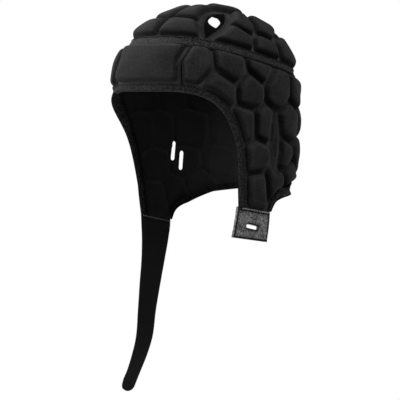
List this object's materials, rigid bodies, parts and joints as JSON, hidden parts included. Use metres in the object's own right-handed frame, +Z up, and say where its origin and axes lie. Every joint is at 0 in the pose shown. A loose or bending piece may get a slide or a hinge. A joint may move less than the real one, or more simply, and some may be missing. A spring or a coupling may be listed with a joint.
{
  "type": "padded rugby headguard",
  "caption": "Soft padded headguard with honeycomb foam pads, vented crown, open face, ear slits, a slotted tab on the left flap and a free hanging chin strap on the right.",
  "frame": {"origin": "middle of the head at the height of the brow edge, where the headguard is held by the head inside it", "axes": "+Z up towards the crown, -Y the way the wearer faces, +X towards the wearer's left ear"},
  "size_m": [0.1765, 0.1998, 0.4128],
  "materials": {
    "pad_cloth": "matte knitted cloth over foam",
    "trim_cloth": "matte knitted tape",
    "coated_cloth": "grained coated cloth",
    "strap_cloth": "smooth matte cloth"
  },
  "bodies": {
    "root": {"brow_panel": "pad_cloth", "side_panel_left": "pad_cloth", "side_panel_right": "pad_cloth", "crown_panel": "pad_cloth", "brow_seam_tape": "trim_cloth", "crown_seam_tape": "trim_cloth", "back_seam_tape": "trim_cloth", "face_binding": "trim_cloth", "neck_binding": "trim_cloth", "strap_tab": "coated_cloth", "chin_strap": "strap_cloth"}
  },
  "joints": []
}
